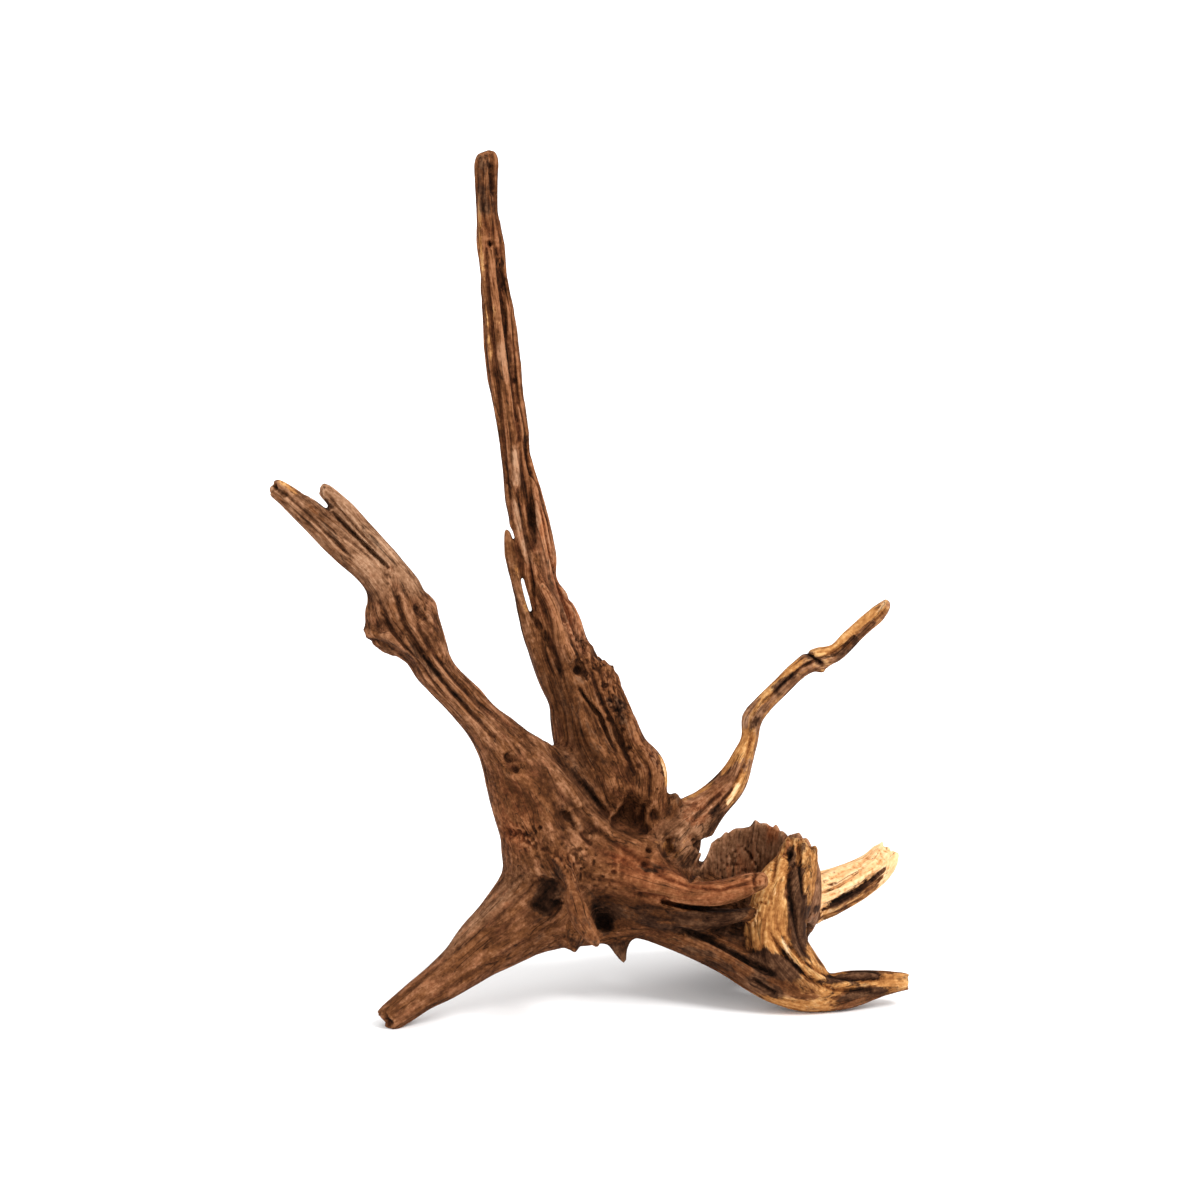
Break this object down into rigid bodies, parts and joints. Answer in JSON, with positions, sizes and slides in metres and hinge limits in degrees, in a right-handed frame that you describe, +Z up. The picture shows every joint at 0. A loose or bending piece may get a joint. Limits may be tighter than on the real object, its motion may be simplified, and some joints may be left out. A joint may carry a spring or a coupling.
{
  "type": "piece of driftwood",
  "caption": "Gnarled piece of driftwood: a tall split spire, a forked left branch, a thin right branch, a broken hollow and low roots that it stands on.",
  "frame": {"origin": "middle of the bounding box, on the surface that the roots stand on", "axes": "+Z up along the spire, +X to the right of the shown side, +Y away from the viewer of that side"},
  "size_m": [0.3234, 0.1576, 0.4289],
  "materials": {
    "wood": "matte"
  },
  "bodies": {
    "root": {"driftwood": "wood"}
  },
  "joints": []
}
